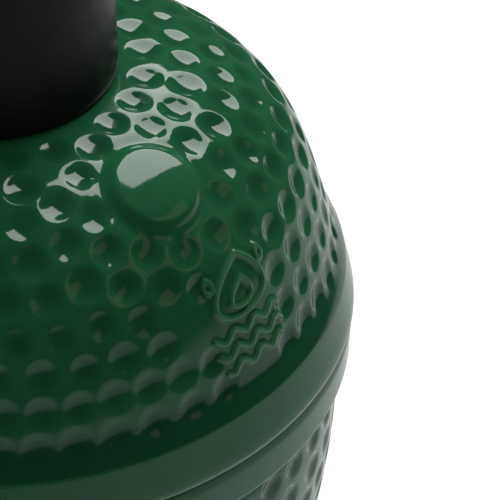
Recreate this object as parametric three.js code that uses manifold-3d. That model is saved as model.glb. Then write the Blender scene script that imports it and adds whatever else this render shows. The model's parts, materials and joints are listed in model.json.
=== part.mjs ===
// A small ceramic charcoal smoker of the kamado kind: a glazed egg-shaped base and lid, a rear hinge,
// a wooden handle, a chimney vent under a soft rain cover, a sliding draft door and the inner cookware.
// Millimetres, +Z up, origin at the middle of the foot. The front, with handle and draft door, faces -Y.

import * as THREE from 'three';
import { mergeVertices } from 'three/addons/utils/BufferGeometryUtils.js';
import Module from 'manifold-3d';

const wasm = await Module();
wasm.setup();

// ---------------------------------------------------------------- driving dimensions

const GAP = 0.3;                      // air between pieces that rest on each other
const BELT_R = 170;                   // widest radius, at the lid's ridge
const RIM_Z = 238;                    // top of the base rim
const FELT = 2;                       // thickness of each felt gasket
const BASE_WALL = 16;
const LID_WALL = 14;
const FOOT_R = 100;
const FLOOR = 20;                     // thickness of the base's floor

const LID_Z = RIM_Z + 2 * FELT + 3 * GAP;     // underside of the lid
const RIDGE_Z = LID_Z + 4;                    // the ridge just above the parting line
const FOOT_OF_DOME_Z = RIDGE_Z + 0.121 * BELT_R;
const DOME_R = 0.976 * BELT_R;                // dome radius where it leaves the belt
const DOME_Z = RIDGE_Z + 0.813 * BELT_R;      // top of the dome, round the chimney
const CAP_R = 0.35 * BELT_R;                  // foot of the rain cover
const RIM_IN_R = 150;                         // inner radius of both rims
const BASE_BELT_FOOT_Z = RIDGE_Z - 0.174 * BELT_R;
const BASE_BELT_R = 0.99 * BELT_R;

const NECK_R = 50;
const NECK_BORE_R = 38;
const NECK_Z = DOME_Z + 20;
const COVER_TALL = 93;
const COVER_WALL = 2.6;

const BOSS_AZ = 76;                   // azimuths are degrees from the front, towards +X
const BOSS_R = 21;
const GAUGE_R = 24;

const DRAFT_FACE_Y = -142;            // flat pad that carries the draft frame
const DRAFT_Z = 58;                   // middle height of the draft opening
const DRAFT_HALF_W = 33;
const DRAFT_HALF_H = 17;

const PIN_Y = 186;                    // hinge pin, behind the rims
const PIN_Z = RIM_Z + 2.4;
const PIN_R = 3;
const HANDLE_X = 52;                  // handle arms, left and right
const HANDLE_Y = -207;
const HANDLE_Z = 257;
const BOLT_R = 2.4;
const HOLE_R = 2.9;
const LID_BOLT_Z = 256;
const BASE_BOLT_Z = 226;
const HINGE_LID_BOLT_AZ = 8;
const HINGE_BASE_BOLT_AZ = 11;
const HANDLE_BOLT_AZ = 23.5;

const SHELL_STEPS = 48;
const RING_STEPS = 32;

// ---------------------------------------------------------------- materials

function finish(color, roughness, metalness = 0) {
  return () => new THREE.MeshStandardMaterial({ color, roughness, metalness });
}

const glaze = finish(0x1c5a38, 0.12);
const firedClay = finish(0xc9a98a, 0.9);
const castIron = finish(0x1d1d1e, 0.65, 0.4);
const steel = finish(0xb9bcc0, 0.32, 0.95);
const blackSteel = finish(0x232426, 0.45, 0.6);
const silicone = finish(0x151515, 0.42);
const felt = finish(0x2b2c2d, 0.95);
const wood = finish(0x8a5a30, 0.5);
const plastic = finish(0x17181a, 0.4);
const dialFace = finish(0xf2f1ec, 0.6);
const needleRed = finish(0xb3231c, 0.4);
const clear = () => new THREE.MeshStandardMaterial({
  color: 0xdfe9ee, roughness: 0.05, transparent: true, opacity: 0.35,
});

// ---------------------------------------------------------------- solids

// A closed geometry as a manifold solid, turned inside out first if its faces point in.
function toSolid(geometry) {
  const bare = geometry.clone();
  bare.deleteAttribute('normal');
  bare.deleteAttribute('uv');
  const merged = mergeVertices(bare, 1e-4);
  const triangles = [];
  for (let i = 0; i < merged.index.count; i += 3) {
    const corners = [0, 1, 2].map((k) => merged.index.getX(i + k));
    if (new Set(corners).size === 3) triangles.push(corners);
  }
  const build = (list) => new wasm.Manifold(new wasm.Mesh({
    numProp: 3,
    vertProperties: new Float32Array(merged.attributes.position.array),
    triVerts: new Uint32Array(list.flat()),
  }));
  const solid = build(triangles);
  return solid.volume() > 0 ? solid : build(triangles.map(([a, b, c]) => [a, c, b]));
}

function toGeometry(solid) {
  const mesh = solid.getMesh();
  const geometry = new THREE.BufferGeometry();
  geometry.setAttribute('position', new THREE.BufferAttribute(mesh.vertProperties, 3));
  geometry.setIndex(new THREE.BufferAttribute(mesh.triVerts, 1));
  geometry.computeVertexNormals();
  return geometry;
}

function join(...geometries) {
  return toGeometry(geometries.map(toSolid).reduce((sum, next) => sum.add(next)));
}

function cut(geometry, ...tools) {
  return toGeometry(tools.map(toSolid).reduce((rest, tool) => rest.subtract(tool), toSolid(geometry)));
}

function common(first, second) {
  return toGeometry(toSolid(first).intersect(toSolid(second)));
}

// A profile of [radius, height] points turned about Z, in whichever direction it is listed.
// It starts and ends on the axis, or closes on itself.
function turned(profile, steps = RING_STEPS) {
  const points = profile.map(([r, z]) => new THREE.Vector2(r, z));
  if (THREE.ShapeUtils.area(points) < 0) points.reverse();
  return new THREE.LatheGeometry(points, steps).rotateX(Math.PI / 2);
}

function ring(inner, outer, z0, z1, steps = RING_STEPS) {
  return turned([[inner, z0], [outer, z0], [outer, z1], [inner, z1], [inner, z0]], steps);
}

function box(x0, x1, y0, y1, z0, z1) {
  const geometry = new THREE.BoxGeometry(x1 - x0, y1 - y0, z1 - z0);
  return geometry.translate((x0 + x1) / 2, (y0 + y1) / 2, (z0 + z1) / 2);
}

// A rod along Z, from z0 to z1.
function rod(radius, z0, z1, steps = 12) {
  const geometry = new THREE.CylinderGeometry(radius, radius, z1 - z0, steps);
  return geometry.rotateX(Math.PI / 2).translate(0, 0, (z0 + z1) / 2);
}

function extruded(shape, depth, curveSegments = 8) {
  return new THREE.ExtrudeGeometry(shape, { depth, bevelEnabled: false, curveSegments });
}

// A flat outline of [y, z] points made into a plate that spans x0 to x1.
function sidePlate(outline, x0, x1) {
  const shape = new THREE.Shape(outline.map(([y, z]) => new THREE.Vector2(y, z)));
  const turn = new THREE.Matrix4().makeBasis(
    new THREE.Vector3(0, 1, 0), new THREE.Vector3(0, 0, 1), new THREE.Vector3(1, 0, 0));
  return extruded(shape, x1 - x0).applyMatrix4(turn).translate(x0, 0, 0);
}

function arcPoints(y, z, radius, fromDeg, toDeg, steps) {
  const points = [];
  for (let i = 0; i <= steps; i += 1) {
    const a = THREE.MathUtils.degToRad(fromDeg + (toDeg - fromDeg) * i / steps);
    points.push([y + radius * Math.cos(a), z + radius * Math.sin(a)]);
  }
  return points;
}

// Turns something built along +Z at the origin to point outwards at an azimuth and height.
function aimOut(geometry, azimuth, radius, z) {
  const turn = THREE.MathUtils.degToRad(azimuth);
  return geometry.rotateX(Math.PI / 2).translate(0, -radius, z).rotateZ(turn);
}

// A ring cut down to the stretch between two azimuths.
function sector(profile, fromAz, toAz) {
  const reach = 260;
  const heights = profile.map((point) => point[1]);
  const shape = new THREE.Shape([
    new THREE.Vector2(0, 0),
    new THREE.Vector2(reach * Math.sin(THREE.MathUtils.degToRad(fromAz)),
      -reach * Math.cos(THREE.MathUtils.degToRad(fromAz))),
    new THREE.Vector2(reach * Math.sin(THREE.MathUtils.degToRad(toAz)),
      -reach * Math.cos(THREE.MathUtils.degToRad(toAz))),
  ]);
  const low = Math.min(...heights) - 1;
  const wedge = extruded(shape, Math.max(...heights) + 1 - low).translate(0, 0, low);
  return common(turned(profile, SHELL_STEPS), wedge);
}

// ---------------------------------------------------------------- egg outlines

function bezier(a, b, c, d) {
  const point = ([r, z]) => new THREE.Vector2(r, z);
  return new THREE.CubicBezierCurve(point(a), point(b), point(c), point(d));
}

const domeCurve = bezier(
  [DOME_R, FOOT_OF_DOME_Z],
  [0.948 * BELT_R, RIDGE_Z + 0.289 * BELT_R],
  [0.89 * BELT_R, DOME_Z],
  [CAP_R, DOME_Z],
);
const baseCurve = bezier([160.8, BASE_BELT_FOOT_Z - 2.5], [159, 130], [132, 50], [FOOT_R, 6]);

// Points along a curve, moved inwards. The turn is 1 for a curve that climbs and -1 for one that drops.
function along(curve, steps, inwards = 0, turn = 1) {
  const points = [];
  for (let i = 0; i <= steps; i += 1) {
    const here = curve.getPoint(i / steps);
    const way = curve.getTangent(i / steps);
    points.push([here.x - turn * way.y * inwards, here.y + turn * way.x * inwards]);
  }
  return points;
}

// The dome's outside at a height: the point, and the frame whose Z is the surface's outward normal.
function domeFrame(height, azimuth) {
  let t = 0;
  while (domeCurve.getPoint(t).y < height) t += 0.001;
  const at = domeCurve.getPoint(t);
  const way = domeCurve.getTangent(t);
  const turn = THREE.MathUtils.degToRad(azimuth);
  const out = new THREE.Vector3(Math.sin(turn), -Math.cos(turn), 0);
  const normal = out.clone().multiplyScalar(way.y).add(new THREE.Vector3(0, 0, -way.x));
  const side = new THREE.Vector3(Math.cos(turn), Math.sin(turn), 0);
  const up = new THREE.Vector3().crossVectors(normal, side);
  const frame = new THREE.Matrix4().makeBasis(side, up, normal);
  return frame.setPosition(out.x * at.x, out.y * at.x, at.y);
}

const bossFrame = domeFrame(RIDGE_Z + 0.739 * BELT_R, BOSS_AZ);
const gaugeFrame = domeFrame(RIDGE_Z + 62, 0);

// ---------------------------------------------------------------- fasteners through the ceramic

const boltPlaces = [];
for (const side of [-1, 1]) {
  const word = side < 0 ? 'left' : 'right';
  const lidAz = 180 + side * HINGE_LID_BOLT_AZ;
  const baseAz = 180 + side * HINGE_BASE_BOLT_AZ;
  boltPlaces.push({ name: `handle_bolt_${word}`, az: side * HANDLE_BOLT_AZ, z: LID_BOLT_Z, lid: true });
  boltPlaces.push({ name: `hinge_lid_bolt_${word}`, az: lidAz, z: LID_BOLT_Z, lid: true });
  boltPlaces.push({ name: `hinge_base_bolt_${word}`, az: baseAz, z: BASE_BOLT_Z, lid: false });
}

// Radius at which the bolt heads seat on the bracket plates.
const LID_SEAT_R = 173.7;
const BASE_SEAT_R = 172;

function bolt(place) {
  const seat = place.lid ? LID_SEAT_R : BASE_SEAT_R;
  const reach = seat - RIM_IN_R + 8;
  const profile = [[0, -reach], [BOLT_R, -reach], [BOLT_R, 0], [5.4, 0], [5.4, 1], [4.2, 2.6], [0, 3.4]];
  return aimOut(turned(profile, 12), place.az, seat, place.z);
}

function boltHole(place) {
  return aimOut(rod(HOLE_R, -60, 20), place.az, BELT_R, place.z);
}

function nut(place) {
  return aimOut(ring(3.15, 5.6, 0, 4, 6), place.az, RIM_IN_R - 5.8, place.z);
}

// ---------------------------------------------------------------- base

function baseShell() {
  const wall = along(baseCurve, 9);
  const inside = along(baseCurve, 9, BASE_WALL, -1).filter(([, z]) => z > FLOOR + 6).reverse();
  const outer = turned([
    [0, RIM_Z], [BASE_BELT_R - 1.2, RIM_Z], [BASE_BELT_R, RIM_Z - 1.5],
    [0.982 * BELT_R, BASE_BELT_FOOT_Z], [0.965 * BELT_R, BASE_BELT_FOOT_Z - 1.6],
    ...wall, [FOOT_R - 2, 0], [0, 0],
  ], SHELL_STEPS);
  const hollow = turned([
    [0, FLOOR], [inside[0][0] - 12, FLOOR], ...inside,
    [RIM_IN_R, RIM_Z - 16], [RIM_IN_R, RIM_Z + 5], [0, RIM_Z + 5],
  ], SHELL_STEPS);
  const pad = box(-50, 50, DRAFT_FACE_Y, -90, DRAFT_Z - 30, DRAFT_Z + 30);
  const opening = box(
    -DRAFT_HALF_W, DRAFT_HALF_W, DRAFT_FACE_Y - 5, -70, DRAFT_Z - DRAFT_HALF_H, DRAFT_Z + DRAFT_HALF_H);
  const holes = boltPlaces.filter((place) => !place.lid).map(boltHole);
  return cut(join(outer, pad), hollow, opening, ...draftScrews().map((screw) => screw.hole), ...holes);
}

function gasket(z) {
  return ring(RIM_IN_R + 1, BELT_R - 4.5, z, z + FELT, SHELL_STEPS);
}

// ---------------------------------------------------------------- draft door

const FRAME_HALF_W = 47;
const FRAME_HALF_H = 28;
const RAIL_HALF_H = 20;
const SHEET = 1.5;

const draftStack = { plate: DRAFT_FACE_Y - GAP };
draftStack.screen = draftStack.plate - SHEET - 0.4;
draftStack.door = draftStack.screen - 1 - 0.4;
draftStack.lip = draftStack.door - 1.2 - 0.4;
const DOOR_HALF_W = 38;
const DOOR_HALF_H = RAIL_HALF_H - 1.9;

function draftScrews() {
  const screws = [];
  for (const side of [-1, 1]) {
    for (const level of [-1, 1]) {
      const word = `${level < 0 ? 'lower' : 'upper'}_${side < 0 ? 'left' : 'right'}`;
      const x = side * 41;
      const z = DRAFT_Z + level * 24;
      const seat = -(draftStack.plate - SHEET) + 0.1;
      const profile = [[0, -14], [1.6, -14], [1.6, 0], [3.2, 0], [2.6, 1.6], [0, 2]];
      const body = turned(profile, 10).rotateX(Math.PI / 2).translate(x, -seat, z);
      const hole = rod(2.1, -14.6, 6, 10).rotateX(Math.PI / 2).translate(x, -seat, z);
      screws.push({ name: `draft_screw_${word}`, body, hole });
    }
  }
  return screws;
}

function draftFrame() {
  const { plate, lip } = draftStack;
  const back = plate - SHEET;
  const front = lip - 1.2;
  const inner = RAIL_HALF_H - 1.5;
  const hook = RAIL_HALF_H - 5.5;
  const outline = [
    [plate, -FRAME_HALF_H], [plate, FRAME_HALF_H], [back, FRAME_HALF_H], [back, RAIL_HALF_H],
    [front, RAIL_HALF_H], [front, hook], [lip, hook], [lip, inner], [back, inner],
    [back, -inner], [lip, -inner], [lip, -hook], [front, -hook], [front, -RAIL_HALF_H],
    [back, -RAIL_HALF_H], [back, -FRAME_HALF_H],
  ];
  const channel = sidePlate(outline, -FRAME_HALF_W, FRAME_HALF_W).translate(0, 0, DRAFT_Z);
  const window = box(
    -DRAFT_HALF_W, DRAFT_HALF_W, back - 0.2, plate + 1, DRAFT_Z - DRAFT_HALF_H, DRAFT_Z + DRAFT_HALF_H);
  return cut(channel, window, ...draftScrews().map((screw) => screw.hole));
}

function draftScreen() {
  const y = draftStack.screen;
  const sheet = box(-DOOR_HALF_W, DOOR_HALF_W, y - 1, y, DRAFT_Z - DOOR_HALF_H, DRAFT_Z + DOOR_HALF_H);
  const tab = box(
    -DOOR_HALF_W - 2.2, -DOOR_HALF_W - 1, draftStack.lip - 9, y, DRAFT_Z - 10, DRAFT_Z + 10);
  const root = box(-DOOR_HALF_W - 2.2, -DOOR_HALF_W + 1, y - 1, y, DRAFT_Z - 10, DRAFT_Z + 10);
  const holes = [];
  for (let column = 0; column < 8; column += 1) {
    for (let row = 0; row < 4; row += 1) {
      const x = (column - 3.5) * 8;
      const z = DRAFT_Z + (row - 1.5) * 6.8;
      holes.push(rod(2.4, -3, 3, 6).rotateX(Math.PI / 2).translate(x, y - 0.5, z));
    }
  }
  return cut(join(sheet, root, tab), ...holes);
}

function draftDoor() {
  const y = draftStack.door;
  const sheet = box(-DOOR_HALF_W, DOOR_HALF_W, y - 1.2, y, DRAFT_Z - DOOR_HALF_H, DRAFT_Z + DOOR_HALF_H);
  const rivet = rod(1.8, -6, 6, 12).rotateX(Math.PI / 2).translate(-26, y, DRAFT_Z);
  return cut(sheet, rivet);
}

function draftKnob() {
  const y = draftStack.door - 1.2 - GAP;
  const profile = [[0, -1.4], [1.5, -1.4], [1.5, 0], [5, 0], [4, 3], [4.2, 6], [6.5, 9], [6, 12], [0, 13]];
  return turned(profile, 14).rotateX(Math.PI / 2).translate(-26, y, DRAFT_Z);
}

// ---------------------------------------------------------------- inside the base

function fireBox() {
  const wall = turned([
    [64, FLOOR + GAP], [78, FLOOR + GAP], [110, 96], [124, 140], [110, 140], [97, 100],
    [84, 72], [84, 66], [62, 66], [62, 58], [64, FLOOR + GAP],
  ]);
  const notch = box(-DRAFT_HALF_W, DRAFT_HALF_W, -130, -50, FLOOR - 2, 52);
  const vents = [];
  for (let i = 0; i < 6; i += 1) {
    vents.push(aimOut(rod(6, -60, 60, 8), 30 + 60 * i, 100, 88));
  }
  return cut(wall, notch, ...vents);
}

function charcoalGrate() {
  const plate = rod(80, 66 + GAP, 72, RING_STEPS);
  const slots = [];
  for (let i = -4; i <= 4; i += 1) {
    const reach = Math.sqrt(70 ** 2 - (14 * i) ** 2);
    for (const side of [-1, 1]) {
      const near = side < 0 ? -reach : 5;
      const far = side < 0 ? -5 : reach;
      slots.push(box(14 * i - 4, 14 * i + 4, near, far, 60, 80));
    }
  }
  return cut(plate, ...slots);
}

function fireRing() {
  return ring(108, 128, 140 + GAP, 182);
}

const DEFLECTOR_Z = 182 + GAP;

function heatDeflector() {
  const parts = [rod(112, DEFLECTOR_Z, DEFLECTOR_Z + 9, RING_STEPS)];
  for (let i = 0; i < 3; i += 1) {
    const turn = THREE.MathUtils.degToRad(60 + 120 * i);
    parts.push(box(-20, 20, -135, -90, DEFLECTOR_Z, DEFLECTOR_Z + 9).rotateZ(turn));
    parts.push(box(-20, 20, -135, -123, DEFLECTOR_Z + 5, 228).rotateZ(turn));
  }
  return join(...parts);
}

function waterPan() {
  const z = DEFLECTOR_Z + 9 + GAP;
  return turned([
    [0, z], [80, z], [88, z + 6], [94, z + 28], [99, z + 28], [99, z + 29.2], [93, z + 29.2],
    [86.8, z + 6.8], [79.6, z + 1.2], [0, z + 1.2],
  ]);
}

function cookingGrid() {
  const z = 228 + GAP + 2.5;
  const parts = [new THREE.TorusGeometry(130, 2.5, 6, 40).translate(0, 0, z)];
  const pitch = 14;
  for (let i = -8; i <= 8; i += 1) {
    const half = Math.sqrt(130 ** 2 - (pitch * i) ** 2);
    parts.push(rod(1.8, -half, half, 6).rotateX(Math.PI / 2).translate(pitch * i, 0, z));
  }
  return join(...parts);
}

// ---------------------------------------------------------------- lid

function lidShell() {
  const inside = along(domeCurve, 10, LID_WALL).filter(([r]) => r > NECK_BORE_R + 6).reverse();
  const shell = turned([
    [RIM_IN_R, LID_Z], [BELT_R - 2, LID_Z], [BELT_R - 0.6, LID_Z + 1.6], [BELT_R, RIDGE_Z],
    [BELT_R - 0.4, RIDGE_Z + 2], [0.979 * BELT_R, FOOT_OF_DOME_Z - 1.5],
    ...along(domeCurve, 12), [NECK_R + 3, DOME_Z + 0.5], [NECK_R, DOME_Z + 4], [NECK_R, NECK_Z],
    [NECK_BORE_R, NECK_Z], [NECK_BORE_R, DOME_Z - LID_WALL], ...inside,
    [RIM_IN_R, LID_Z],
  ], SHELL_STEPS);
  const boss = turned([
    [0, -9], [BOSS_R + 6, -9], [BOSS_R + 6, -2.5], [BOSS_R + 3, -0.8], [BOSS_R + 0.8, 0.8],
    [BOSS_R - 2, 3.2], [BOSS_R * 0.55, 4.6], [0, 5.2],
  ], 24).applyMatrix4(bossFrame);
  const gaugeHole = rod(5, -40, 20, 20).applyMatrix4(gaugeFrame);
  const holes = boltPlaces.filter((place) => place.lid).map(boltHole);
  return cut(join(shell, boss), gaugeHole, ...holes);
}

// ---------------------------------------------------------------- chimney vent and rain cover

const PETALS = 5;
const VENT_TOP_Z = NECK_Z + FELT + 2 * GAP;

function petals() {
  const openings = [];
  for (let i = 0; i < PETALS; i += 1) {
    const middle = 2 * Math.PI * i / PETALS;
    const half = THREE.MathUtils.degToRad(15);
    const shape = new THREE.Shape();
    shape.absarc(0, 0, 35, middle - half, middle + half, false);
    shape.absarc(0, 0, 13, middle + half, middle - half, true);
    openings.push(extruded(shape, 40, 3).translate(0, 0, VENT_TOP_Z - 12));
  }
  return openings;
}

function ventBase() {
  const z = VENT_TOP_Z;
  const body = turned([
    [0, z], [NECK_R + 0.8, z], [NECK_R + 0.8, z - 16], [NECK_R + 4, z - 16], [NECK_R + 4, z + 3],
    [NECK_R + 3, z + 4], [0, z + 4],
  ]);
  return cut(body, ...petals(), rod(HOLE_R, z - 5, z + 10));
}

const WHEEL_Z = VENT_TOP_Z + 4 + GAP;

function daisyWheel() {
  const disc = rod(43, WHEEL_Z, WHEEL_Z + 3, RING_STEPS);
  const tab = box(37, 43, -3, 3, WHEEL_Z + 1, WHEEL_Z + 13).rotateZ(THREE.MathUtils.degToRad(-54));
  return cut(join(disc, tab), ...petals(), rod(HOLE_R, WHEEL_Z - 5, WHEEL_Z + 10));
}

const HOOD_Z = WHEEL_Z + 19;

function ventHood() {
  const hood = turned([
    [0, HOOD_Z + 5], [30, HOOD_Z + 4], [48, HOOD_Z], [54, HOOD_Z - 4], [54, HOOD_Z - 1.5],
    [50, HOOD_Z + 3], [32, HOOD_Z + 8.5], [0, HOOD_Z + 10],
  ]);
  const parts = [hood];
  for (let i = 0; i < 3; i += 1) {
    const post = rod(3, VENT_TOP_Z + 4 + GAP, HOOD_Z + 1, 12).translate(0, -49, 0);
    parts.push(post.rotateZ(THREE.MathUtils.degToRad(120 * i)));
  }
  return cut(join(...parts), rod(HOLE_R, HOOD_Z - 5, HOOD_Z + 20));
}

function ventBolt() {
  const head = VENT_TOP_Z - GAP;
  const tip = HOOD_Z + 16;
  return turned([[0, head - 3], [5, head - 3], [5, head], [BOLT_R, head], [BOLT_R, tip], [0, tip]], 16);
}

function ventKnob() {
  const z = HOOD_Z + 10 + GAP;
  return turned([
    [BOLT_R + 0.4, z], [9, z], [10, z + 3], [9, z + 8], [6, z + 12], [0, z + 13], [0, z + 7],
    [BOLT_R + 0.4, z + 7], [BOLT_R + 0.4, z],
  ], 20);
}

function rainCover() {
  const z = DOME_Z + 0.8;
  const top = z + COVER_TALL;
  const inner = CAP_R - COVER_WALL;
  return turned([
    [0, top], [48, top - 0.3], [56, top - 2.5], [60.5, top - 8], [61.5, top - 14],
    [CAP_R + 0.2, z + 4], [CAP_R - 0.6, z + 1], [CAP_R - 1.8, z], [inner, z + 0.6],
    [61.5 - COVER_WALL, top - 14], [58, top - 9], [54.5, top - 4.8], [47.5, top - 2.9],
    [0, top - COVER_WALL],
  ]);
}

// ---------------------------------------------------------------- hinge and handle

// Bracket plates follow the taper of the two belts, as [radius, height] outlines.
const lidPlate = [[170.8, 247.8], [173.8, 247.8], [170.6, 265], [167.6, 265], [170.8, 247.8]];
const basePlate = [[167.7, 219.5], [170.7, 219.5], [171.9, 235], [168.9, 235], [167.7, 219.5]];

// The hinge is drawn at the front and turned to the back as a group.
function hingeBaseBracket() {
  const parts = [sector(basePlate, -14.5, 14.5)];
  const eye = arcPoints(-PIN_Y, PIN_Z, 7, 250, 20, 10);
  for (const x of [-20, 20]) {
    parts.push(sidePlate([[-169.5, 221], ...eye, [-169.5, 233.5]], x - 1.5, x + 1.5));
  }
  const pinHole = rod(PIN_R + 0.35, -40, 40, 16).rotateY(Math.PI / 2).translate(0, -PIN_Y, PIN_Z);
  return cut(join(...parts), pinHole, ...hingeHoles(HINGE_BASE_BOLT_AZ, BASE_BOLT_Z));
}

function hingeLidBracket() {
  const parts = [sector(lidPlate, -11, 11)];
  const eye = arcPoints(-PIN_Y, PIN_Z, 7, 310, 90, 10);
  for (const x of [-16, 16]) {
    parts.push(sidePlate([[-171.5, 249], ...eye, [-171.5, 263]], x - 1.5, x + 1.5));
  }
  const pinHole = rod(PIN_R + 0.35, -40, 40, 16).rotateY(Math.PI / 2).translate(0, -PIN_Y, PIN_Z);
  return cut(join(...parts), pinHole, ...hingeHoles(HINGE_LID_BOLT_AZ, LID_BOLT_Z));
}

function hingeHoles(azimuth, z) {
  return [-1, 1].map((side) => aimOut(rod(HOLE_R, -20, 20), side * azimuth, BELT_R, z));
}

function hingePin() {
  const profile = [
    [0, -24.5], [5, -24.5], [5, -22], [PIN_R, -22], [PIN_R, 23], [2.2, 23], [2.2, 24.6], [PIN_R, 24.6],
    [2.4, 26.5], [0, 26.5],
  ];
  return turned(profile, 16).rotateY(Math.PI / 2).translate(0, -PIN_Y, PIN_Z);
}

function hingeClip() {
  return ring(2.6, 5.2, 23.2, 24.4, 16).rotateY(Math.PI / 2).translate(0, -PIN_Y, PIN_Z);
}

function handleBracket(side) {
  const from = side < 0 ? -28.5 : 17;
  const plate = sector(lidPlate, from, from + 11.5);
  const eye = arcPoints(HANDLE_Y, HANDLE_Z, 11, 285, 75, 12);
  const middle = side * HANDLE_X;
  const arm = sidePlate([[-164.3, 249], ...eye, [-164.3, 264]], middle - 1.5, middle + 1.5);
  const screwHole = rod(2.6, -80, 80, 12).rotateY(Math.PI / 2).translate(0, HANDLE_Y, HANDLE_Z);
  const boltBore = aimOut(rod(HOLE_R, -20, 20), side * HANDLE_BOLT_AZ, BELT_R, LID_BOLT_Z);
  return cut(join(plate, arm), screwHole, boltBore);
}

function handleBar() {
  const half = HANDLE_X - 1.5 - GAP;
  const profile = [[0, -half], [9.6, -half], [10.6, 1.2 - half]];
  for (let i = 0; i <= 6; i += 1) {
    const u = -1 + i / 3;
    profile.push([12.6 - 1.6 * u * u, u * (half - 4)]);
  }
  profile.push([10.6, half - 1.2], [9.6, half], [0, half]);
  const bar = turned(profile, 20);
  const bores = [-half - 2, half - 20].map((start) => rod(2.3, start, start + 22, 10));
  return cut(bar, ...bores).rotateY(Math.PI / 2).translate(0, HANDLE_Y, HANDLE_Z);
}

function handleScrew(side) {
  const seat = HANDLE_X + 1.5 + GAP;
  const profile = [[0, seat - 18], [1.9, seat - 18], [1.9, seat], [6, seat], [5.4, seat + 2], [0, seat + 3]];
  return turned(profile, 12).rotateY(side * Math.PI / 2).translate(0, HANDLE_Y, HANDLE_Z);
}

// ---------------------------------------------------------------- thermometer, drawn along its own axis

const GAUGE_BACK = 2.4;

function gaugeCase() {
  const back = GAUGE_BACK;
  return turned([
    [0, back], [19, back], [22, back + 1.5], [GAUGE_R, back + 4], [GAUGE_R, back + 10.2],
    [23.4, back + 11], [21.6, back + 11], [21.2, back + 10.4], [22.3, back + 9.6],
    [22.3, back + 2], [0, back + 2],
  ], 28);
}

function gaugeDial() {
  return rod(22, GAUGE_BACK + 2 + GAP, GAUGE_BACK + 3.2, 28);
}

function gaugeNeedle() {
  const z = GAUGE_BACK + 3.2 + GAP;
  const blade = new THREE.Shape([
    new THREE.Vector2(-1, -6), new THREE.Vector2(1, -6), new THREE.Vector2(1.1, 0),
    new THREE.Vector2(0.25, 17.5), new THREE.Vector2(-0.25, 17.5), new THREE.Vector2(-1.1, 0),
  ]);
  const pointer = extruded(blade, 0.8).translate(0, 0, z + 0.6);
  const hub = turned([[0, z], [2.4, z], [2.4, z + 2], [1.8, z + 2.6], [0, z + 2.6]], 18);
  return join(pointer, hub).rotateZ(THREE.MathUtils.degToRad(130));
}

function gaugeGlass() {
  return rod(21.9, GAUGE_BACK + 7.6, GAUGE_BACK + 9.2, 28);
}

function gaugeStem() {
  const top = GAUGE_BACK - GAP;
  return turned([
    [0, -62], [1.6, -60], [2.2, -56], [2.2, -26], [4.4, -25], [4.4, 0], [4.4, top - 1],
    [4.4, top], [0, top],
  ], 20);
}

function gaugeNut() {
  return ring(5.3, 9, -LID_WALL - 6.6, -LID_WALL - 0.9, 6);
}

// ---------------------------------------------------------------- assembly

function place(parent, name, geometry, material) {
  const mesh = new THREE.Mesh(geometry, material());
  mesh.name = name;
  parent.add(mesh);
}

const smoker = new THREE.Group();
const base = new THREE.Group();
const lid = new THREE.Group();
const rear = new THREE.Group();
const gauge = new THREE.Group();
rear.rotation.z = Math.PI;
gaugeFrame.decompose(gauge.position, gauge.quaternion, gauge.scale);
smoker.add(base, lid, rear, gauge);

place(base, 'base_shell', baseShell(), glaze);
place(base, 'base_gasket', gasket(RIM_Z + GAP), felt);
place(base, 'fire_box', fireBox(), firedClay);
place(base, 'charcoal_grate', charcoalGrate(), castIron);
place(base, 'fire_ring', fireRing(), firedClay);
place(base, 'heat_deflector', heatDeflector(), firedClay);
place(base, 'water_pan', waterPan(), steel);
place(base, 'cooking_grid', cookingGrid(), steel);
place(base, 'draft_frame', draftFrame(), steel);
place(base, 'draft_screen', draftScreen(), steel);
place(base, 'draft_door', draftDoor(), steel);
place(base, 'draft_knob', draftKnob(), plastic);
draftScrews().forEach((screw) => place(base, screw.name, screw.body, steel));

place(lid, 'lid_shell', lidShell(), glaze);
place(lid, 'lid_gasket', gasket(LID_Z - GAP - FELT), felt);
place(lid, 'neck_gasket', ring(NECK_BORE_R + 1.5, NECK_R - 0.8, NECK_Z + GAP, NECK_Z + GAP + FELT), felt);
place(lid, 'vent_base', ventBase(), castIron);
place(lid, 'daisy_wheel', daisyWheel(), castIron);
place(lid, 'vent_hood', ventHood(), castIron);
place(lid, 'vent_bolt', ventBolt(), steel);
place(lid, 'vent_knob', ventKnob(), plastic);
place(lid, 'rain_cover', rainCover(), silicone);
place(lid, 'handle_bracket_left', handleBracket(-1), blackSteel);
place(lid, 'handle_bracket_right', handleBracket(1), blackSteel);
place(lid, 'handle_bar', handleBar(), wood);
place(lid, 'handle_screw_left', handleScrew(-1), steel);
place(lid, 'handle_screw_right', handleScrew(1), steel);

place(rear, 'hinge_base_bracket', hingeBaseBracket(), blackSteel);
place(rear, 'hinge_lid_bracket', hingeLidBracket(), blackSteel);
place(rear, 'hinge_pin', hingePin(), steel);
place(rear, 'hinge_clip', hingeClip(), steel);

place(gauge, 'thermometer_case', gaugeCase(), steel);
place(gauge, 'thermometer_dial', gaugeDial(), dialFace);
place(gauge, 'thermometer_needle', gaugeNeedle(), needleRed);
place(gauge, 'thermometer_glass', gaugeGlass(), clear);
place(gauge, 'thermometer_stem', gaugeStem(), steel);
place(gauge, 'thermometer_nut', gaugeNut(), steel);

boltPlaces.forEach((spot) => {
  place(spot.lid ? lid : base, spot.name, bolt(spot), blackSteel);
  place(spot.lid ? lid : base, spot.name.replace('bolt', 'nut'), nut(spot), steel);
});

export default smoker;
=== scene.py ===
"""The small ceramic charcoal smoker: glazed shells with real dimples, and every fitting on them."""
import json
from math import ceil, cos, pi, radians, sin, sqrt

import bpy
import numpy as np
from mathutils import Matrix, Vector


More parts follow.
